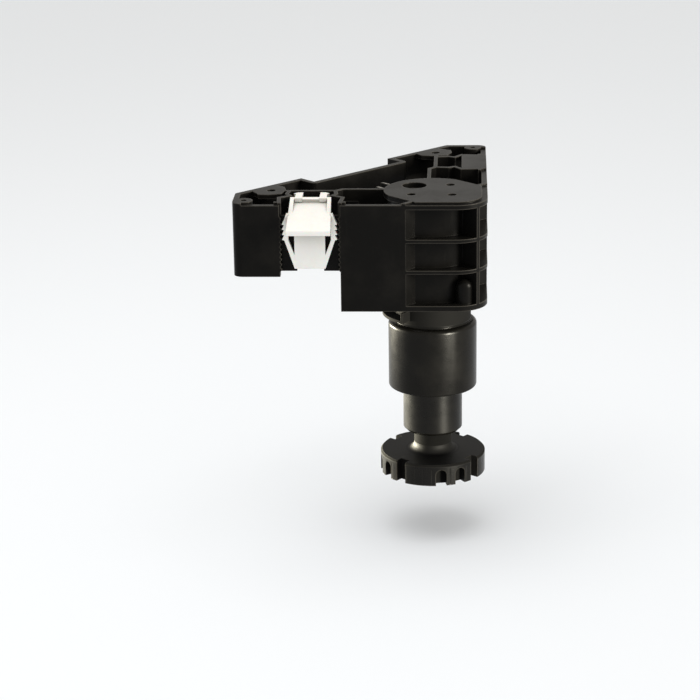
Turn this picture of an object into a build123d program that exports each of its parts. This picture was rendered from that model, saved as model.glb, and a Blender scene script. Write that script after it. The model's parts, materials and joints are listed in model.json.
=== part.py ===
# Folding corner levelling foot for a plinth: a triangular corner housing, a leg that folds
# up along one arm, a castellated foot that telescopes in the leg and a ratchet clip.
# Frame: origin on the leg axis in the fixing plane, +Z up, the folding arm along -X.
import os
from math import cos, pi, radians, sin, sqrt

from build123d import *

os.makedirs("parts", exist_ok=True)

# Housing plan, measured from the leg axis
axis_to_wall = 30.0
arm_reach = 106.5
long_wall_reach = 70.3
recess_depth = 10.7
recess_width = 65.7
wall = 3.0
tower_corner_radius = 17.3
arm_corner_radius = 5.0
arm_end_radius = 2.5

# Housing heights below the fixing plane
arm_height = 40.5
tower_height = 60.0
frame_height = 12.0
deck_thickness = 3.0
plate_thickness = 2.5

# Tower
bore_clearance = 0.6
core_wall = 2.6
rib_thickness = 2.0
rib_depths = (20.0, 37.2)
rim_drop = 1.1
flange_thickness = 3.0
tower_start = 16.4
slant_run = 7.0
slant_rise = 8.0
deck_radius = 26.3
deck_flat_reach = 25.3
screw_hole_radius = 2.45
screw_spots = ((-11.1, -9.9), (9.9, 11.1), (10.8, -10.8))
cable_hole_radius = 6.75
cable_hole_spot = (-9.8, 9.8)
bump_radius = 4.5
bump_height = 13.1
bump_round = 4.1
bump_spot = (17.5, -22.3)
seat_rib_spots = (-15.5, -4.0, 4.0, 15.5)

# Clip slots in the two outer walls
slot_center = 65.0
slot_width = 32.4
rail_depth = 16.0
rail_gap = 20.8
frame_line = 2.0
strut_reach = 1.2
pocket_wall_reach = 2.1
hump_start = 4.0
hump_end = 7.5
tooth_pitch = 2.8
rack_tooth_height = 1.1
rack_top = 7.1
rack_teeth = 11
flange_reach = 4.0
flange_web = 2.0
web_top = 16.5
web_overlap = 1.0

# Arm plates, from the end of the long wall and inwards from it, and the end bosses
plate_outline = ((27.3, 1.7), (28.2, 8.1), (24.7, 13.4), (17.2, 18.4), (10.6, 15.1), (7.0, 10.6), (8.2, 8.4), (9.7, 1.6))
plate_hole = (17.9, 9.1)
boss_inset = (5.9, 7.7)
boss_radius = 4.8
boss_hole_radius = 1.7

# Short ribs on the folding side of the tower: place along the long wall, start and end
short_ribs = ((-6.0, 24.5, 33.7), (-14.2, 20.5, 28.8), (-20.2, 22.8, 27.9), (-24.7, 27.3, 33.7))
short_rib_thickness = 1.6
short_rib_drop = 0.8
short_rib_height = 5.0

# Leg
pivot_depth = 32.0
pin_radius = 4.0
pin_clearance = 0.09
pin_bed = 1.4
pin_chamfer = 0.6
neck_radius = 21.2
seat_clearance = 0.3
crown_turn = 78.0
shoulder_depth = 73.0
collar_radius = 24.4
collar_end = 111.0
collar_shoulder_fillet = 2.4
collar_end_fillet = 1.2
swing_clearance = 0.8
bay_reach = 30.5
lug_radius = 27.6
lug_top = 63.5
lug_bottom = 69.4
lug_wall = 1.6
lug_start = 178.0
lug_sweep = 57.0

# Foot
tube_radius = 16.4
tube_clearance = 0.3
tube_wall = 3.4
tube_top = 58.0
tube_end = 137.0
tube_chamfer = 1.7
socket_top = 51.0
disc_radius = 29.2
disc_top = 149.0
disc_thickness = 12.1
foot_neck_radius = 10.4
foot_neck_fillet = 4.2
disc_edge = 0.8
tread_recess = 1.5
tread_width = 6.2
notch_width = 6.1
notch_depth = 4.6
arch_width = 6.0
arch_height = 9.2
notch_turn = 53.0
arch_turns = (10.0, 32.0)
grip_repeats = 4

# Clip
clip_clearance = 0.35
stem_width = 16.5
stem_thickness = 3.3
stem_front = 31.1
stem_bottom = 35.6
hood_back = 15.6
hood_front = 43.4
hood_drop = 11.5
hood_width = 22.0
hood_front_width = 23.7
hood_thickness = 3.2
hood_rim = 2.0
hood_dish = 1.9
hood_edge = 1.2
dish_reach = 14.0
dish_round = 2.4
clip_arm_thickness = 2.2
clip_arm_top = 5.6
clip_bend = 19.85
clip_arm_root = 5.0
clip_tooth_height = 1.2
clip_teeth = 4
prong_width = 3.9
prong_spread = 13.2
prong_height = 2.0
prong_reach = 4.6
prong_barb = 1.15
prong_drop = 0.2


def across(points):
    # Mirror image in the diagonal that runs through the tower and the middle of the long wall
    return [(-y, -x) for x, y in points]


def from_diagonal(along, out):
    # Plan point from its place along the long wall and its reach from the leg axis
    return ((along - out) / sqrt(2), (along + out) / sqrt(2))


def around(radius, angle):
    return (radius * cos(radians(angle)), radius * sin(radians(angle)))


bore_radius = neck_radius + bore_clearance
core_radius = bore_radius + core_wall
pivot_plane = Plane(origin=(0, 0, -pivot_depth), x_dir=(1, 0, 0), z_dir=(0, -1, 0))
collar_room = collar_radius + swing_clearance
tube_room = tube_radius + swing_clearance
lug_room = lug_radius + swing_clearance
neck_room = neck_radius + swing_clearance
shoulder_reach = shoulder_depth - pivot_depth - swing_clearance
collar_swing = sqrt((collar_end - pivot_depth) ** 2 + collar_radius**2) + swing_clearance
lug_reach = lug_top - pivot_depth - swing_clearance
slot_near = slot_center - slot_width / 2
slot_far = slot_center + slot_width / 2
deck_edge = axis_to_wall - wall

half_outline = [
    (axis_to_wall, -axis_to_wall),
    (-arm_reach, -axis_to_wall),
    (-arm_reach, long_wall_reach * sqrt(2) - arm_reach),
    from_diagonal(-recess_width / 2, long_wall_reach),
    from_diagonal(-recess_width / 2, long_wall_reach - recess_depth),
]
tower_plan = [
    (-tower_start, -axis_to_wall),
    (axis_to_wall, -axis_to_wall),
    (axis_to_wall, tower_start),
    (axis_to_wall - slant_rise, tower_start - slant_run),
    (slant_run - tower_start, slant_rise - axis_to_wall),
]
slant_wall = [
    (-tower_start, -axis_to_wall),
    (plate_thickness - tower_start, -axis_to_wall),
    (plate_thickness + slant_run - tower_start, slant_rise - axis_to_wall),
    (slant_run - tower_start, slant_rise - axis_to_wall),
]
rail_half = rail_gap / 2
frame_far = [
    (-slot_far, wall - axis_to_wall - frame_line / 2),
    (-slot_far - frame_line / 2, -rail_depth),
    (-slot_center - rail_half - frame_line / 2, hump_start - rail_depth),
    (-slot_center - rail_half - 1.5 * frame_line, hump_end - rail_depth),
    (-slot_center - rail_half - frame_line, -strut_reach),
]
frame_near = [(-2 * slot_center - x, y) for x, y in frame_far]
strut_ends = (frame_far[-1], frame_near[-1])
frame_near += [(-slot_near, pocket_wall_reach), (-bore_radius, pocket_wall_reach)]
frame_far += [(frame_far[-1][0] - 2 * frame_line, -strut_reach)]
long_wall_end = long_wall_reach - sqrt(2) * arm_reach
arm_plate = [from_diagonal(long_wall_end + along, long_wall_reach - inset) for along, inset in plate_outline]
plate_hole_spot = from_diagonal(long_wall_end + plate_hole[0], long_wall_reach - plate_hole[1])
boss_spot = (boss_inset[0] - arm_reach, boss_inset[1] - axis_to_wall)


def rim_plane(angle):
    # Plane on the rim of the foot's disc, facing outwards, at the height of its tread
    spot = around(disc_radius, angle)
    return Plane(
        origin=(spot[0], spot[1], -disc_top - disc_thickness),
        x_dir=(-sin(radians(angle)), cos(radians(angle)), 0),
        z_dir=(cos(radians(angle)), sin(radians(angle)), 0),
    )


# Racks of one clip slot: a column of ridges on each jamb and the web behind them
rack_plane = Plane(origin=(-slot_center, -axis_to_wall, 0), x_dir=(1, 0, 0), z_dir=(0, 1, 0))
rack_length = rack_teeth * tooth_pitch
web_front = collar_room + flange_web
with BuildPart() as slot_racks:
    for side in (-1, 1):
        jamb = side * slot_width / 2
        tip = jamb - side * rack_tooth_height
        root = jamb + side * wall / 2
        ridges = [(root, rack_top)]
        for tooth in range(rack_teeth):
            ridges.append((jamb, rack_top + tooth * tooth_pitch))
            ridges.append((tip, rack_top + (tooth + 0.5) * tooth_pitch))
        ridges.append((jamb, rack_top + rack_length))
        ridges.append((root, rack_top + rack_length))
        with BuildSketch(rack_plane):
            Polygon(*ridges, align=None)
        extrude(amount=axis_to_wall - web_front)
        with BuildSketch(Plane.XY.offset(-rack_top)):
            web = [(root, web_front), (jamb - side * flange_reach, web_front)]
            web += [(jamb - side * flange_reach, collar_room), (root, collar_room)]
            Polygon(*[(x - slot_center, -y) for x, y in web], align=None)
        extrude(amount=-rack_length)
        with BuildSketch(Plane.XY.offset(-web_top)):
            web_end = side * (stem_width / 2 - web_overlap)
            web = [(root, web_front), (web_end, web_front), (web_end, collar_room), (root, collar_room)]
            Polygon(*[(x - slot_center, -y) for x, y in web], align=None)
        extrude(amount=web_top - rack_top - rack_length)

# Seat ribs under the deck, hollowed to take the domed head of the leg
head_room = neck_radius + seat_clearance
with BuildPart() as seat_ribs:
    with BuildSketch(Plane.XY.offset(-deck_thickness / 2)):
        for spot in seat_rib_spots:
            with Locations((0, spot)):
                Rectangle(2 * core_radius - core_wall, plate_thickness)
        Circle(core_radius - core_wall / 2, mode=Mode.INTERSECT)
    extrude(amount=deck_thickness / 2 - pivot_depth)
    with Locations((0, 0, -pivot_depth)):
        Sphere(head_room, mode=Mode.SUBTRACT)

# Room that the leg needs to swing up along the arm
with BuildPart() as swing_room:
    with BuildSketch(Plane.YZ):
        with Locations((0, -pivot_depth)):
            Circle(neck_room)
            Rectangle(2 * neck_room, arm_reach, align=(Align.CENTER, Align.MAX))
    extrude(amount=-shoulder_reach - swing_clearance)
    with BuildSketch(Plane.YZ.offset(-lug_reach)):
        with Locations((0, -pivot_depth)):
            Circle(lug_room)
            Rectangle(2 * lug_room, arm_reach, align=(Align.CENTER, Align.MAX))
        with Locations((0, -pivot_depth)):
            Rectangle(collar_room + swing_clearance, 3 * arm_reach, align=(Align.MAX, Align.CENTER), mode=Mode.INTERSECT)
    extrude(amount=lug_reach - shoulder_reach - swing_clearance)
    with BuildSketch(Plane.YZ.offset(-shoulder_reach)):
        with Locations((0, -pivot_depth)):
            Circle(collar_room)
            Rectangle(collar_room, arm_reach, align=(Align.MAX, Align.MAX))
            Rectangle(bay_reach, arm_reach, align=(Align.MIN, Align.MAX))
            Rectangle(bay_reach - collar_room, collar_room, align=(Align.MIN, Align.MIN))
        with Locations((bay_reach - collar_room, -pivot_depth)):
            Circle(collar_room)
    extrude(amount=shoulder_reach - collar_swing)
    with BuildSketch(Plane.YZ.offset(-collar_swing + swing_clearance)):
        with Locations((0, -pivot_depth)):
            Circle(tube_room)
            Rectangle(2 * tube_room, arm_reach, align=(Align.CENTER, Align.MAX))
    extrude(amount=collar_swing - arm_reach - wall)

# Domed bump in the lowest compartment of the tower
with BuildPart() as core_bump:
    with BuildSketch(Plane.XY.offset(flange_thickness / 2 - tower_height)):
        with Locations(bump_spot):
            Circle(bump_radius)
    extrude(amount=bump_height + flange_thickness / 2)
    fillet(core_bump.edges().sort_by(Axis.Z)[-1], bump_round)

with BuildPart() as corner_housing:
    # Outer walls of the two arms and the long wall with its recess
    with BuildSketch() as outline:
        with BuildLine():
            Polyline(*half_outline, *reversed(across(half_outline[1:])), close=True)
        make_face()
        rounds = [(half_outline[0], tower_corner_radius)]
        for arm in (half_outline, across(half_outline)):
            rounds += [(arm[1], arm_corner_radius), (arm[2], arm_end_radius)]
        for corner, radius in rounds:
            fillet(outline.vertices().sort_by_distance(Vector(*corner))[0], radius)
        offset(amount=-wall, mode=Mode.SUBTRACT)
    extrude(amount=-arm_height)
    # The walls stop at the tower and at the clip slots
    tower_gap = [(-tower_start, -axis_to_wall), (axis_to_wall, -axis_to_wall)]
    tower_gap += [(axis_to_wall, tower_start), (-tower_start, tower_start)]
    slot_gap = [(-slot_far, -axis_to_wall), (-slot_near, -axis_to_wall)]
    slot_gap += [(-slot_near, wall - axis_to_wall), (-slot_far, wall - axis_to_wall)]
    with BuildSketch():
        Polygon(*tower_gap, align=None)
        for gap in (slot_gap, across(slot_gap)):
            Polygon(*gap, align=None)
    extrude(amount=-arm_height, mode=Mode.SUBTRACT)
    # Deep blocks beside the tower, with the jambs of the slots
    block_end = plate_thickness - tower_start
    block_wall = [(-slot_near, -axis_to_wall), (block_end, -axis_to_wall)]
    block_wall += [(block_end, wall - axis_to_wall), (wall - slot_near, wall - axis_to_wall)]
    block_wall += [(wall - slot_near, -collar_room), (-slot_near, -collar_room)]
    far_jamb = [(-slot_far - wall, -axis_to_wall), (-slot_far, -axis_to_wall)]
    far_jamb += [(-slot_far, -collar_room), (-slot_far - wall, -collar_room)]
    for jamb_plan, depth in ((block_wall, tower_height), (far_jamb, arm_height)):
        with BuildSketch():
            for plan in (jamb_plan, across(jamb_plan)):
                Polygon(*plan, align=None)
        extrude(amount=-depth)
    # Outer rims stand a little lower than the deck, level with the rim of the tower
    low_rim = [(arm_corner_radius - arm_reach, -axis_to_wall), (block_end, -axis_to_wall)]
    low_rim += [(block_end, wall - axis_to_wall), (arm_corner_radius - arm_reach, wall - axis_to_wall)]
    with BuildSketch():
        for plan in (low_rim, across(low_rim)):
            Polygon(*plan, align=None)
    extrude(amount=-rim_drop, mode=Mode.SUBTRACT)
    # Tower: core, level ribs, slanted end walls and the corner rib
    with BuildSketch():
        Circle(core_radius)
        for plan in (slant_wall, across(slant_wall)):
            Polygon(*plan, align=None)
    extrude(amount=-tower_height)
    levels = [(rim_drop, plate_thickness), (tower_height - flange_thickness, flange_thickness)]
    levels += [(depth, rib_thickness) for depth in rib_depths]
    for depth, thickness in levels:
        with BuildSketch(Plane.XY.offset(-depth)) as level:
            Polygon(*tower_plan, align=None)
            corner = level.vertices().sort_by_distance(Vector(axis_to_wall, -axis_to_wall, 0))[0]
            fillet(corner, tower_corner_radius)
        extrude(amount=-thickness)
    corner_reach = axis_to_wall * sqrt(2) - (sqrt(2) - 1) * tower_corner_radius
    with BuildSketch(Plane.XY.offset(-rim_drop)):
        half_rib = rib_thickness / 2
        corner_rib = [from_diagonal(-half_rib, -core_radius + 1), from_diagonal(half_rib, -core_radius + 1)]
        corner_rib += [from_diagonal(half_rib, -corner_reach), from_diagonal(-half_rib, -corner_reach)]
        Polygon(*corner_rib, align=None)
    extrude(amount=rim_drop - tower_height + flange_thickness)
    add(core_bump.part)
    # Bore of the tower, then the cheeks beside the leg and the deck above it
    with BuildSketch(Plane.XY.offset(-deck_thickness)):
        Circle(bore_radius)
    extrude(amount=deck_thickness - tower_height, mode=Mode.SUBTRACT)
    for cheek_start in (bore_radius, -core_radius):
        with BuildSketch(pivot_plane.offset(cheek_start)):
            Circle(lug_reach)
            Rectangle(lug_reach, 2 * lug_reach, align=(Align.MIN, Align.CENTER), mode=Mode.SUBTRACT)
            with Locations((0, pivot_depth - tower_height)):
                Rectangle(2 * lug_reach, tower_height, align=(Align.CENTER, Align.MIN), mode=Mode.INTERSECT)
        extrude(amount=core_wall)
    with BuildSketch() as deck:
        Polygon((-deck_edge, -deck_edge), (deck_edge, -deck_edge), (deck_edge, deck_edge), align=None)
        fillet(deck.vertices().sort_by_distance(Vector(deck_edge, -deck_edge))[0], tower_corner_radius - wall)
        Circle(deck_radius)
        flats = [from_diagonal(-deck_flat_reach, -2 * deck_edge), from_diagonal(deck_flat_reach, -2 * deck_edge)]
        flats += [from_diagonal(deck_flat_reach, deck_radius), from_diagonal(-deck_flat_reach, deck_radius)]
        Polygon(*flats, align=None, mode=Mode.INTERSECT)
    extrude(amount=-deck_thickness)
    with BuildSketch(Plane.XY.offset(-short_rib_drop)):
        half_rib = short_rib_thickness / 2
        for along, start, end in short_ribs:
            rib = [from_diagonal(along - half_rib, start), from_diagonal(along + half_rib, start)]
            rib += [from_diagonal(along + half_rib, end), from_diagonal(along - half_rib, end)]
            Polygon(*rib, align=None)
    extrude(amount=-short_rib_height)
    add(seat_ribs.part)
    # Frames behind the clip slots, the strut that ties them to the deck and the arm plates
    for frame in (frame_far, frame_near):
        with BuildSketch():
            with BuildLine():
                Polyline(*frame)
            trace(line_width=frame_line)
        extrude(amount=-frame_height)
        with BuildSketch():
            with BuildLine():
                Polyline(*across(frame))
            trace(line_width=frame_line)
        extrude(amount=-frame_height)
    for ends in (strut_ends, across(strut_ends)):
        with BuildSketch():
            with BuildLine():
                Line(*ends)
            trace(line_width=frame_line)
        extrude(amount=-frame_height)
    with BuildSketch():
        for plan in (arm_plate, across(arm_plate)):
            Polygon(*plan, align=None)
    extrude(amount=-plate_thickness)
    # End bosses, and the bridge that closes the top of the unused slot
    with BuildSketch():
        for spot in (boss_spot, *across([boss_spot])):
            with Locations(spot):
                Circle(boss_radius)
    extrude(amount=-frame_height)
    with BuildSketch():
        bridge = [(rail_depth, slot_near), (axis_to_wall, slot_near)]
        bridge += [(axis_to_wall, slot_far), (rail_depth, slot_far)]
        Polygon(*bridge, align=None)
    extrude(amount=-plate_thickness)
    # Racks of both slots
    add(slot_racks.part)
    add(mirror(slot_racks.part, about=Plane((0, 0, 0), x_dir=(0, 0, 1), z_dir=(1, 1, 0)), mode=Mode.PRIVATE))
    # Fixing holes, the cable hole and the bed of the pivot pin
    with Locations(*screw_spots):
        Hole(screw_hole_radius, depth=pivot_depth - head_room)
    with Locations(plate_hole_spot, *across([plate_hole_spot])):
        Hole(screw_hole_radius, depth=frame_height)
    with Locations(boss_spot, *across([boss_spot])):
        Hole(boss_hole_radius, depth=frame_height)
    with Locations(cable_hole_spot):
        Hole(cable_hole_radius, depth=pivot_depth)
    add(swing_room.part, mode=Mode.SUBTRACT)
    with BuildSketch(pivot_plane.offset(bore_radius + pin_bed)):
        Circle(pin_radius + pin_clearance)
    extrude(amount=-bore_radius - pin_bed - core_radius - wall, mode=Mode.SUBTRACT)

corner_housing.part.label = "corner_housing"
export_step(corner_housing.part, "parts/corner_housing.step")

with BuildPart() as leg_socket:
    # Domed head with a small flat crown, neck and collar
    crown = around(neck_radius, crown_turn)
    with BuildSketch(Plane.XZ) as leg_profile:
        with BuildLine():
            CenterArc((0, -pivot_depth), neck_radius, 0, crown_turn)
            Polyline(
                (neck_radius, -pivot_depth),
                (neck_radius, -shoulder_depth),
                (collar_radius, -shoulder_depth),
                (collar_radius, -collar_end),
                (0, -collar_end),
                (0, crown[1] - pivot_depth),
                (crown[0], crown[1] - pivot_depth),
            )
        make_face()
        for height, radius in ((shoulder_depth, collar_shoulder_fillet), (collar_end, collar_end_fillet)):
            fillet(leg_profile.vertices().sort_by_distance(Vector(collar_radius, -height))[0], radius)
    revolve(axis=Axis.Z)
    # Ring lug on the folding side: a floor with a rib at each end
    rib_turn = 360 * lug_wall / (2 * pi * lug_radius)
    lug_end = lug_start + lug_sweep
    lug_root = neck_radius - lug_wall
    lug_sectors = [(lug_start, lug_end, lug_wall)]
    for first in (lug_start, lug_end - rib_turn):
        lug_sectors.append((first, first + rib_turn, lug_bottom - lug_top))
    for first, last, height in lug_sectors:
        middle = (first + last) / 2
        with BuildSketch(Plane.XY.offset(-lug_bottom)):
            with BuildLine():
                ThreePointArc(around(lug_radius, first), around(lug_radius, middle), around(lug_radius, last))
                Line(around(lug_radius, last), around(lug_root, last))
                ThreePointArc(around(lug_root, last), around(lug_root, middle), around(lug_root, first))
                Line(around(lug_root, first), around(lug_radius, first))
            make_face()
        extrude(amount=height)
    # Socket for the foot and the pivot bore
    with BuildSketch(Plane.XY.offset(-collar_end)):
        Circle(tube_radius + tube_clearance)
    extrude(amount=collar_end - socket_top, mode=Mode.SUBTRACT)
    with BuildSketch(pivot_plane):
        Circle(pin_radius + pin_clearance)
    extrude(amount=core_radius, both=True, mode=Mode.SUBTRACT)

leg_socket.part.label = "leg_socket"
export_step(leg_socket.part, "parts/leg_socket.step")

# Steel pin, pushed in from behind until it meets its bed in the front wall of the core
with BuildPart() as pivot_pin:
    with BuildSketch(pivot_plane.offset(bore_radius + pin_bed)):
        Circle(pin_radius)
    extrude(amount=-bore_radius - pin_bed - core_radius)
    chamfer(pivot_pin.edges().filter_by(GeomType.CIRCLE), pin_chamfer)

pivot_pin.part.label = "pivot_pin"
export_step(pivot_pin.part, "parts/pivot_pin.step")

with BuildPart() as adjusting_foot:
    # Tube, slim neck and disc turned about the leg axis
    tread = disc_top + disc_thickness
    bore = tube_radius - tube_wall
    with BuildSketch(Plane.XZ) as foot_profile:
        with BuildLine():
            Polyline(
                (bore, -tube_top),
                (tube_radius, -tube_top),
                (tube_radius, -tube_end),
                (foot_neck_radius, -tube_end),
                (foot_neck_radius, -disc_top),
                (disc_radius, -disc_top),
                (disc_radius, -tread),
                (disc_radius - tread_width, -tread),
                (disc_radius - tread_width, tread_recess - tread),
                (0, tread_recess - tread),
                (0, tube_wall - tube_end),
                (bore, tube_wall - tube_end),
                close=True,
            )
        make_face()
        corners = foot_profile.vertices()
        fillet(corners.sort_by_distance(Vector(foot_neck_radius, -disc_top))[0], foot_neck_fillet)
        for spot, size in (((tube_radius, -tube_end), tube_chamfer), ((disc_radius, -disc_top), disc_edge)):
            chamfer(foot_profile.vertices().sort_by_distance(Vector(*spot))[0], size)
    revolve(axis=Axis.Z)
    # Grips for a spanner around the rim: two arches, then a notch
    with BuildSketch(Plane.XY.offset(-disc_top)):
        with PolarLocations(disc_radius, grip_repeats, start_angle=notch_turn):
            Rectangle(2 * notch_depth, notch_width)
    extrude(amount=-disc_thickness, mode=Mode.SUBTRACT)
    for repeat in range(grip_repeats):
        for turn in arch_turns:
            with BuildSketch(rim_plane(turn + repeat * 360 / grip_repeats)):
                with Locations((0, arch_height - arch_width / 2)):
                    Circle(arch_width / 2)
                Rectangle(arch_width, arch_height - arch_width / 2, align=(Align.CENTER, Align.MIN))
            extrude(amount=-notch_depth, mode=Mode.SUBTRACT)

adjusting_foot.part.label = "adjusting_foot"
export_step(adjusting_foot.part, "parts/adjusting_foot.step")

# Clip: a stem with two ratchet arms, a hood in front and two prongs behind the rails
hood_run = hood_front - hood_back
hood_slope = hood_drop / hood_run
hood_length = sqrt(hood_run**2 + hood_drop**2)
hood_plane = Plane(
    origin=(-slot_center, -hood_back, 0), x_dir=(1, 0, 0), z_dir=(0, hood_drop, -hood_run)
)
dish_plane = Plane(
    origin=(-slot_center, -hood_back, 0), x_dir=(0, -hood_run, -hood_drop), z_dir=(1, 0, 0)
)
clip_plane = Plane(origin=(-slot_center, -stem_front, 0), x_dir=(1, 0, 0), z_dir=(0, 1, 0))
stem_top = (stem_front - hood_back) * hood_slope + hood_thickness / 2
tip_reach = slot_width / 2 - rack_tooth_height - clip_clearance
arm_face = tip_reach - clip_tooth_height
with BuildPart() as plinth_clip:
    with BuildSketch(clip_plane):
        with Locations((0, stem_top)):
            Rectangle(stem_width, stem_bottom - stem_top, align=(Align.CENTER, Align.MIN))
        for side in (-1, 1):
            arm = [(side * stem_width / 2, stem_bottom), (side * (stem_width / 2 - 1), stem_bottom - clip_arm_root)]
            arm += [(side * (arm_face - clip_arm_thickness), clip_bend)]
            arm += [(side * (arm_face - clip_arm_thickness), clip_arm_top)]
            arm += [(side * (arm_face - clip_arm_thickness / 2), clip_arm_top)]
            tooth_start = clip_bend - clip_teeth * tooth_pitch
            arm += [(side * arm_face, tooth_start)]
            for tooth in range(clip_teeth):
                arm += [(side * tip_reach, tooth_start + (tooth + 0.9) * tooth_pitch)]
                arm += [(side * arm_face, tooth_start + (tooth + 1) * tooth_pitch)]
            Polygon(*arm, align=None)
    extrude(amount=stem_thickness)
    # Hood with a rounded front edge and a dished top
    with BuildSketch(hood_plane):
        hood = [(-hood_width / 2, 0), (hood_width / 2, 0)]
        hood += [(hood_front_width / 2, hood_length), (-hood_front_width / 2, hood_length)]
        Polygon(*hood, align=None)
    extrude(amount=hood_thickness)
    front_edge = Vector(-slot_center, -hood_front, -hood_drop)
    fillet(plinth_clip.edges().filter_by(Axis.X).sort_by_distance(front_edge)[0], hood_edge)
    with BuildSketch(dish_plane) as dish:
        Polygon(
            (hood_rim, -hood_rim),
            (hood_rim, hood_dish),
            (dish_reach, 0),
            (dish_reach, -hood_rim),
            align=None,
        )
        fillet(dish.vertices().sort_by_distance(dish_plane.from_local_coords((hood_rim, hood_dish)))[0], dish_round)
    extrude(amount=hood_width / 2 - hood_rim, both=True, mode=Mode.SUBTRACT)
    # Prongs with outward barbs
    with BuildSketch(Plane.XY.offset(-prong_drop)):
        for side in (-1, 1):
            inner = prong_spread / 2 - prong_width / 2
            outer = prong_spread / 2 + prong_width / 2
            prong = [(inner, hood_back + hood_rim), (inner, prong_reach), (outer - prong_barb, prong_reach)]
            prong += [(outer + prong_barb, prong_reach + 2 * prong_barb), (outer, prong_reach + 3 * prong_barb)]
            prong += [(outer, hood_back + hood_rim)]
            Polygon(*[(side * x - slot_center, -y) for x, y in prong], align=None)
    extrude(amount=-prong_height)

plinth_clip.part.label = "plinth_clip"
export_step(plinth_clip.part, "parts/plinth_clip.step")
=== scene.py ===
import json
import math
import bpy
from mathutils import Matrix, Vector

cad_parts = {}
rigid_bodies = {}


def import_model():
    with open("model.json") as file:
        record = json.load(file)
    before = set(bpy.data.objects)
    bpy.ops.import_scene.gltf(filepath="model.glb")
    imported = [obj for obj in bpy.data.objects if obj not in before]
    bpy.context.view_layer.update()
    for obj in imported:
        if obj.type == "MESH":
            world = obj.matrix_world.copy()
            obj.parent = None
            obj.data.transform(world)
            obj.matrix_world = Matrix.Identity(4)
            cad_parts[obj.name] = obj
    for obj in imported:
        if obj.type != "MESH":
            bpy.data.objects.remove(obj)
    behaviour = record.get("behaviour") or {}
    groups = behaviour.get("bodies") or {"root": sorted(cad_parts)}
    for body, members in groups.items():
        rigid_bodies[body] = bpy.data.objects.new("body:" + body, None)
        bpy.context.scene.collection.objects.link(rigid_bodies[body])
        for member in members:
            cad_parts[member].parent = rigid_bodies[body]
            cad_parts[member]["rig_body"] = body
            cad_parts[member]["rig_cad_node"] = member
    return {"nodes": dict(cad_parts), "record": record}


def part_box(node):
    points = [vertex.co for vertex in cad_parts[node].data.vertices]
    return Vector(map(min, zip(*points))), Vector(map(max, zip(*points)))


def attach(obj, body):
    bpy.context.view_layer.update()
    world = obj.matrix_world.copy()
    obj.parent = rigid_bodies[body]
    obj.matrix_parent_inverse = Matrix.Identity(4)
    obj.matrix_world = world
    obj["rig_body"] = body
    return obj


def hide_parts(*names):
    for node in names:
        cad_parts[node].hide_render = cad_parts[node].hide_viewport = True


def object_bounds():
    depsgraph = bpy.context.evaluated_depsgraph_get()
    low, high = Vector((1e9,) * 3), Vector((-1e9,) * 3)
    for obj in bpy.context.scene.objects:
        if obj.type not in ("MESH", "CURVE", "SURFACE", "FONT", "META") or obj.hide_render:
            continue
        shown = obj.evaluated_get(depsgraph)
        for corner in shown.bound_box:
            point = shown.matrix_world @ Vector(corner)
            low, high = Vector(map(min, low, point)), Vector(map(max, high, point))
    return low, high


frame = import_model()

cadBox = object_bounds()
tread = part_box("adjusting_foot")[0].z    # height of the foot's lowest face
print("frame loaded:", sorted(frame["nodes"]))


class Wire:
    # a shader socket that can stand in a Python expression
    def __init__(self, tree, socket=None):
        self.tree = tree
        self.socket = socket

    def add(self, kind, settings=None, inputs=None, output=0):
        node = self.tree.nodes.new(kind)
        for key, value in (settings or {}).items():
            setattr(node, key, value)
        for key, value in (inputs or {}).items():
            if isinstance(value, Wire):
                self.tree.links.new(value.socket, node.inputs[key])
            else:
                node.inputs[key].default_value = value
        return Wire(self.tree, node.outputs[output])

    def maths(self, operation, first, second):
        return self.add("ShaderNodeMath", {"operation": operation}, {0: first, 1: second})

    def __add__(self, other):
        return self.maths("ADD", self, other)

    def __radd__(self, other):
        return self.maths("ADD", other, self)

    def __sub__(self, other):
        return self.maths("SUBTRACT", self, other)

    def __rsub__(self, other):
        return self.maths("SUBTRACT", other, self)

    def __mul__(self, other):
        return self.maths("MULTIPLY", self, other)

    def __rmul__(self, other):
        return self.maths("MULTIPLY", other, self)

    def axis(self, vector, number):    # 0, 1 or 2 gives x, y or z
        return self.add("ShaderNodeSeparateXYZ", {}, {0: vector}, output=number)

    def noise(self, place, scale, detail, rough):
        inputs = {"Vector": place, "Scale": scale, "Detail": detail, "Roughness": rough}
        return self.add("ShaderNodeTexNoise", {}, inputs)

    def stretch(self, place, factors):
        return self.add("ShaderNodeMapping", {}, {"Vector": place, "Scale": factors})

    def clampRange(self, value, low, high, outLow=0.0, outHigh=1.0):
        settings = {"interpolation_type": "SMOOTHSTEP"}
        return self.add("ShaderNodeMapRange", settings, {0: value, 1: low, 2: high, 3: outLow, 4: outHigh})

    def mixColour(self, factor, first, second):
        return self.add("ShaderNodeMix", {"data_type": "RGBA"}, {0: factor, 6: first, 7: second}, output=2)

    def roundedEdges(self, radius):
        return self.add("ShaderNodeBevel", {"samples": 6}, {"Radius": radius})

    def bump(self, strength, depth, height, normal=None):
        inputs = {"Strength": strength, "Distance": depth, "Height": height}
        if normal:
            inputs["Normal"] = normal
        return self.add("ShaderNodeBump", {}, inputs)


def newMaterial(name):
    material = bpy.data.materials.new(name)
    material.use_nodes = True
    tree = material.node_tree
    tree.nodes.clear()
    wire = Wire(tree)
    output = tree.nodes.new("ShaderNodeOutputMaterial")
    shader = tree.nodes.new("ShaderNodeBsdfPrincipled")
    tree.links.new(shader.outputs[0], output.inputs[0])
    place = wire.add("ShaderNodeTexCoord", output="Object")
    return material, wire, shader, place


def feed(wire, shader, links):
    for key, value in links.items():
        wire.tree.links.new(value.socket, shader.inputs[key])


def setConstants(shader, values):
    for key, value in values.items():
        shader.inputs[key].default_value = value


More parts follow.
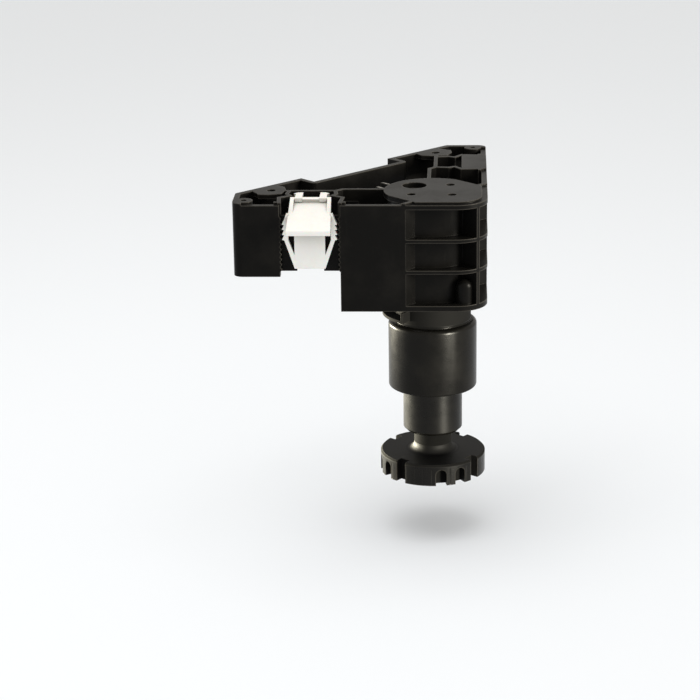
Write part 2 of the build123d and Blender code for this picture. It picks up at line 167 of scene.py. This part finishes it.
plasticIndex = 1.5    # index of refraction of both plastics
pastRim = 0.05        # a radius outside the leg and the foot

housingLook = {
    "deep": (0.0029, 0.0028, 0.0026, 1.0),    # colour in the hollows of the grain
    "worn": (0.0075, 0.0070, 0.0062, 1.0),    # colour on handled patches
    "edge": (0.045, 0.042, 0.037, 1.0),       # painted highlight along the outer edges
    "ribGlint": (0.28, 0.27, 0.25, 1.0),        # painted glint on the tops of the short ribs
    "dull": (0.001, 0.001, 0.001, 1.0),       # painted shade, darkening the dull zones
    "patchShare": 0.6,
    "scuffShare": 0.4,
    "edgeShare": 0.8,
    "paintedShadeShare": 0.6,
    "roughLow": 0.28,
    "roughHigh": 0.43,
    "scuffRough": 0.06,                # roughness that a scuff adds
    "gloss": 0.060,
    "grain": (1500.0, 3.0, 0.6),       # scale, detail and roughness of each noise
    "patches": (45.0, 5.0, 0.6),
    "scuffs": (380.0, 6.0, 0.65),
    "scuffStretch": (1.0, 1.0, 0.12),
    "patchRange": (0.40, 0.72),        # where each mask starts and is full
    "scuffRange": (0.60, 0.80),
    "edgeRange": (0.05, 0.45),
    "ribGlintRange": (0.42, 0.60),
    "upwardRange": (0.8, 0.95),
    "ribGlintBand": (-0.0009, -0.0007, 0.06),    # lowest z, highest z and radius of the ribs' tops that carry the painted glint
    "edgeRadius": 0.0006,
    "grainStrength": 0.5,
    "grainDepth": 0.00005,
    "dullShadeZones": (),                   # lowest z, highest z, radius and roughness of each; each is also darkened with painted shade
    "rimLines": None,
}
legLook = dict(
    housingLook,
    deep=(0.0018, 0.0017, 0.0015, 1.0),
    worn=(0.0042, 0.0039, 0.0034, 1.0),
    edge=(0.020, 0.0185, 0.016, 1.0),
    roughLow=0.23,
    roughHigh=0.37,
    gloss=0.095,
    dullShadeZones=((-0.0715, 0.0, pastRim, 0.80),),    # neck and lug
)
footLook = dict(
    legLook,
    gloss=0.13,
    dullShadeZones=(
        (tread + 0.0165, tread + 0.0251, 0.0115, 1.00),     # neck under the tube
        (tread + 0.0119, tread + 0.0165, 0.0150, 0.64),     # fillet below that neck
        (tread + 0.0120, tread + 0.0123, pastRim, 0.52),    # top of the disc
        (tread + 0.0108, tread + 0.0120, pastRim, 1.00),    # edge of that top
        (tread - 0.0009, tread + 0.0113, 0.0282, 0.95),     # inside the grips
    ),
    rimLines={
        "count": 36,
        "width": 0.12,      # as a share of the step from line to line
        "depth": 5.0,       # in depths of the grain
        "low": tread + 0.0004,
        "high": tread + 0.0096,
        "inside": 0.0288,
    },
)


def bandMask(wire, place, low, high, reach):
    # 1 in a band of height around the leg axis, out to a radius
    blur = 0.0002
    across = wire.add("ShaderNodeVectorMath", {"operation": "MULTIPLY"}, {0: place, 1: (1.0, 1.0, 0.0)})
    radius = wire.add("ShaderNodeVectorMath", {"operation": "LENGTH"}, {0: across}, output="Value")
    height = wire.axis(place, 2)
    above = wire.clampRange(height, low - blur, low + blur)
    under = wire.clampRange(height, high - blur, high + blur, 1.0, 0.0)
    within = wire.clampRange(radius, reach - blur, reach + blur, 1.0, 0.0)
    return above * under * within


def rimLineMask(wire, place, settings):
    # fine upright lines round the rim of the disc
    turn = wire.maths("ARCTAN2", wire.axis(place, 1), wire.axis(place, 0))
    step = wire.maths("PINGPONG", turn * (settings["count"] / math.tau), 0.5)
    line = wire.clampRange(step, 0.0, settings["width"], 1.0, 0.0)
    whole = bandMask(wire, place, settings["low"], settings["high"], pastRim)
    inner = bandMask(wire, place, settings["low"], settings["high"], settings["inside"])
    return line * (whole - inner)


def edgeHighlightMask(wire, settings):
    # finds the outer edges for the painted highlight; looks into the solid, so inner corners stay unmarked
    inward = {"inside": True, "only_local": True, "samples": 8}
    solid = wire.add("ShaderNodeAmbientOcclusion", inward, {"Distance": settings["edgeRadius"]}, output="AO")
    return wire.clampRange(1.0 - solid, *settings["edgeRange"])


def ribGlintMask(wire, place, scuffs, settings):
    normal = wire.add("ShaderNodeNewGeometry", output="True Normal")
    upward = wire.clampRange(wire.axis(normal, 2), *settings["upwardRange"])
    tops = bandMask(wire, place, *settings["ribGlintBand"]) * upward
    return tops * wire.clampRange(scuffs, *settings["ribGlintRange"])


def makeBlackPlastic(name, settings):
    material, wire, shader, place = newMaterial(name)
    grain = wire.noise(place, *settings["grain"])
    patches = wire.noise(place, *settings["patches"])
    scuffs = wire.noise(wire.stretch(place, settings["scuffStretch"]), *settings["scuffs"])
    patchMask = wire.clampRange(patches, *settings["patchRange"])
    scuffMask = wire.clampRange(scuffs, *settings["scuffRange"])

    wear = patchMask * settings["patchShare"] + scuffMask * settings["scuffShare"]
    colour = wire.mixColour(wear, settings["deep"], settings["worn"])
    # painted highlight: the outer edges are lightened towards the edge highlight colour
    colour = wire.mixColour(edgeHighlightMask(wire, settings) * settings["edgeShare"], colour, settings["edge"])
    # painted glint: the upward tops of the short ribs are lightened in streaks
    colour = wire.mixColour(ribGlintMask(wire, place, scuffs, settings), colour, settings["ribGlint"])

    span = settings["roughHigh"] - settings["roughLow"]
    rough = settings["roughLow"] + span * (patchMask * 0.5 + grain * 0.5)
    rough = rough + scuffMask * settings["scuffRough"]
    for low, high, reach, dull in settings["dullShadeZones"]:
        zone = bandMask(wire, place, low, high, reach)
        rough = rough * (1.0 - zone) + zone * dull
        # painted shade: each dull zone is also darkened towards the dull colour
        colour = wire.mixColour(zone * settings["paintedShadeShare"], colour, settings["dull"])

    relief = grain
    lines = settings["rimLines"]
    if lines:
        relief = relief - rimLineMask(wire, place, lines) * lines["depth"]
    edges = wire.roundedEdges(settings["edgeRadius"])
    bump = wire.bump(settings["grainStrength"], settings["grainDepth"], relief, edges)
    feed(wire, shader, {"Base Color": colour, "Roughness": rough, "Normal": bump})
    setConstants(shader, {"IOR": plasticIndex, "Specular IOR Level": settings["gloss"]})
    return material


clipNylon = {
    "white": (0.78, 0.78, 0.76, 1.0),
    "cream": (0.74, 0.735, 0.70, 1.0),
    "shade": (0.42, 0.41, 0.38, 1.0),    # painted shade in the hollows
    "clouds": (90.0, 4.0, 0.6),          # scale, detail and roughness of each noise
    "grain": (900.0, 3.0, 0.6),
    "cloudRange": (0.42, 0.75),
    "hollowDistance": 0.020,
    "hollowRange": (0.99, 0.50),         # from open to closed in
    "roughLow": 0.34,
    "roughSpan": 0.2,
    "edgeRadius": 0.0005,
    "grainStrength": 0.4,
    "grainDepth": 0.00003,
    "glowShare": 0.15,                   # light that passes under the surface
    "glowDepth": 0.002,
}


def makeClipNylon(name, settings):
    material, wire, shader, place = newMaterial(name)
    clouds = wire.noise(place, *settings["clouds"])
    grain = wire.noise(place, *settings["grain"])
    cloudMask = wire.clampRange(clouds, *settings["cloudRange"])
    colour = wire.mixColour(cloudMask, settings["white"], settings["cream"])
    distance = {"Distance": settings["hollowDistance"]}
    openness = wire.add("ShaderNodeAmbientOcclusion", {"samples": 8}, distance, output="AO")
    hollowShadeMask = wire.clampRange(openness, *settings["hollowRange"])
    # painted shade: hollows found by ambient occlusion are darkened
    colour = wire.mixColour(hollowShadeMask, colour, settings["shade"])
    rough = settings["roughLow"] + grain * settings["roughSpan"]
    edges = wire.roundedEdges(settings["edgeRadius"])
    bump = wire.bump(settings["grainStrength"], settings["grainDepth"], grain, edges)
    feed(wire, shader, {"Base Color": colour, "Roughness": rough, "Normal": bump})
    glow = {"Subsurface Weight": settings["glowShare"], "Subsurface Scale": settings["glowDepth"]}
    setConstants(shader, dict(glow, IOR=plasticIndex))
    return material


pinSteel = {
    "bright": (0.62, 0.61, 0.59, 1.0),
    "dull": (0.42, 0.41, 0.40, 1.0),
    "lines": (1400.0, 4.0, 0.6),       # scale, detail and roughness of the noise
    "lineStretch": (1.0, 0.05, 1.0),
    "roughLow": 0.25,
    "roughSpan": 0.2,
    "lineStrength": 0.3,
    "lineDepth": 0.00002,
}


def makePinSteel(name, settings):
    material, wire, shader, place = newMaterial(name)
    lines = wire.noise(wire.stretch(place, settings["lineStretch"]), *settings["lines"])
    colour = wire.mixColour(lines, settings["dull"], settings["bright"])
    rough = settings["roughLow"] + lines * settings["roughSpan"]
    bump = wire.bump(settings["lineStrength"], settings["lineDepth"], lines)
    feed(wire, shader, {"Base Color": colour, "Roughness": rough, "Normal": bump})
    setConstants(shader, {"Metallic": 1.0})
    return material


finishes = {
    "corner_housing": makeBlackPlastic("housingBlack", housingLook),
    "leg_socket": makeBlackPlastic("legBlack", legLook),
    "adjusting_foot": makeBlackPlastic("footBlack", footLook),
    "pivot_pin": makePinSteel("pinSteel", pinSteel),
    "plinth_clip": makeClipNylon("clipNylon", clipNylon),
}
print("materials made:", len(finishes))


def deselectAll():
    bpy.ops.object.select_all(action="DESELECT")


smoothing = {"mergeGap": 0.000002, "angle": math.radians(32)}


def smoothTwin(nodeName, bodyName):
    # a merged copy of the solid, so that round faces shade as one
    source = frame["nodes"][nodeName]
    twin = source.copy()
    twin.data = source.data.copy()
    twin.parent = None
    twin.name = nodeName + "_skin"
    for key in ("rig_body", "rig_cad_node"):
        if key in twin:
            del twin[key]
    bpy.context.scene.collection.objects.link(twin)
    deselectAll()
    twin.select_set(True)
    bpy.context.view_layer.objects.active = twin
    bpy.ops.object.mode_set(mode="EDIT")
    bpy.ops.mesh.select_all(action="SELECT")
    bpy.ops.mesh.remove_doubles(threshold=smoothing["mergeGap"])
    bpy.ops.mesh.customdata_custom_splitnormals_clear()
    bpy.ops.object.mode_set(mode="OBJECT")
    bpy.ops.object.shade_smooth_by_angle(angle=smoothing["angle"])
    twin.data.materials.clear()
    twin.data.materials.append(finishes[nodeName])
    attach(twin, bodyName)
    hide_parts(nodeName)
    return twin


bodyOfNode = {}
for bodyName, members in frame["record"]["behaviour"]["bodies"].items():
    for nodeName in members:
        bodyOfNode[nodeName] = bodyName
skins = {}
for nodeName in sorted(finishes):
    skins[nodeName] = smoothTwin(nodeName, bodyOfNode[nodeName])
print("skins made:", len(skins))

floorLook = {
    "colour": (0.86, 0.90, 0.96, 1.0),
    "pale": (1.0, 1.0, 1.0, 1.0),
    "paleShare": 0.06,
    "clouds": (3.0, 2.0, 0.5),    # scale, detail and roughness of the noise
    "roughness": 0.8,
    "gloss": 0.2,
    "size": 16.0,
    "below": 0.035,               # room under the tread for the foot's travel
}


def makeFloor(settings):
    material, wire, shader, place = newMaterial("floorPaper")
    clouds = wire.noise(place, *settings["clouds"])
    colour = wire.mixColour(clouds * settings["paleShare"], settings["colour"], settings["pale"])
    feed(wire, shader, {"Base Color": colour})
    setConstants(shader, {"Roughness": settings["roughness"], "Specular IOR Level": settings["gloss"]})
    deselectAll()
    height = cadBox[0].z - settings["below"]
    bpy.ops.mesh.primitive_plane_add(size=settings["size"], location=(0, 0, height))
    floor = bpy.context.active_object
    floor.name = "floor"
    floor.data.materials.append(material)


makeFloor(floorLook)
print("floor laid")

camera = {
    "place": (0.0158763, -1.1972245, 0.3022143),
    "turn": 2.953,      # degrees to the left of straight ahead
    "tilt": 18.186,     # degrees below level
    "roll": -0.8383,    # degrees about the line of sight
    "focal": 2269.44,   # in pixels of the 700 pixel picture
    "picture": 700.0,
    "sensor": 36.0,
    "farthest": 20.0,
}


def makeCamera(settings):
    data = bpy.data.cameras.new("camera")
    data.sensor_fit = "HORIZONTAL"
    data.sensor_width = settings["sensor"]
    data.lens = settings["sensor"] * settings["focal"] / settings["picture"]
    data.clip_end = settings["farthest"]
    eye = bpy.data.objects.new("camera", data)
    bpy.context.scene.collection.objects.link(eye)
    aim = Matrix.Rotation(math.radians(settings["turn"]), 4, "Z")
    aim = aim @ Matrix.Rotation(math.radians(90 - settings["tilt"]), 4, "X")
    aim = aim @ Matrix.Rotation(math.radians(settings["roll"]), 4, "Z")
    eye.matrix_world = Matrix.Translation(settings["place"]) @ aim
    bpy.context.scene.camera = eye


makeCamera(camera)
print("camera set")

middle = (cadBox[0] + cadBox[1]) / 2
lowLevel = tread - 0.0109    # between the tread and the floor, so the disc's top gets no glare
lowAim = Vector((0.0, 0.0, lowLevel))
lights = {
    "leftStrip": {
        "place": (-0.78, 0.42, -0.12),
        "aim": middle,
        "size": (0.4, 0.12),
        "power": 50.0,
        "colour": (1.0, 0.93, 0.73),
        "shinesOn": "leg_socket",
    },
    "rightStrip": {
        "place": (0.62, -0.66, -0.02),
        "aim": middle,
        "size": (0.16, 0.3),
        "power": 41.0,
        "colour": (1.0, 0.95, 0.80),
        "shinesOn": "leg_socket",
    },
    "leftLow": {
        "place": (-0.78, 0.42, lowLevel),
        "aim": lowAim,
        "size": (0.6, 0.04),
        "power": 120.0,
        "colour": (1.0, 0.94, 0.73),
        "shinesOn": "adjusting_foot",
    },
    "rightLow": {
        "place": (0.62, -0.66, lowLevel),
        "aim": lowAim,
        "size": (0.16, 0.04),
        "power": 32.0,
        "colour": (1.0, 0.95, 0.80),
        "shinesOn": "adjusting_foot",
    },
    "rightFill": {
        "place": (0.88, -0.34, 0.2),
        "aim": middle,
        "size": (0.4, 0.5),
        "power": 25.0,
        "colour": (1.0, 0.94, 0.82),
        "shinesOn": "corner_housing",
    },
    "frontFill": {
        "place": (0.35, -0.95, -0.1),
        "aim": middle,
        "size": (0.3, 0.3),
        "power": 2.3,
        "colour": (1.0, 0.97, 0.93),
        "shinesOn": "plinth_clip",
    },
    "overhead": {
        "place": (-0.15, -0.1, 0.9),
        "aim": middle,
        "size": (0.9, 0.9),
        "power": 4.6,
        "colour": (1.0, 0.98, 0.95),
        "shinesOn": None,    # the whole part and the floor
    },
}


def makeLight(name, settings):
    data = bpy.data.lights.new(name, "AREA")
    data.shape = "RECTANGLE"
    data.size, data.size_y = settings["size"]
    data.energy = settings["power"]
    data.color = settings["colour"]
    lamp = bpy.data.objects.new(name, data)
    bpy.context.scene.collection.objects.link(lamp)
    lamp.visible_camera = False
    lamp.location = settings["place"]
    sight = settings["aim"] - Vector(settings["place"])
    lamp.rotation_euler = sight.to_track_quat("-Z", "Y").to_euler()
    if settings["shinesOn"]:    # lights one piece and nothing else
        lit = bpy.data.collections.new(name + "Lit")
        lit.objects.link(skins[settings["shinesOn"]])
        lamp.light_linking.receiver_collection = lit


for name, settings in lights.items():
    makeLight(name, settings)
print("lights set:", len(lights))

sky = {"colour": (1.0, 0.97, 0.915, 1.0), "strength": 0.85}
world = bpy.data.worlds.new("studio")
world.use_nodes = True
backdrop = world.node_tree.nodes["Background"]
backdrop.inputs["Color"].default_value = sky["colour"]
backdrop.inputs["Strength"].default_value = sky["strength"]
bpy.context.scene.world = world
bpy.context.scene.view_settings.view_transform = "Standard"
print("sky set")
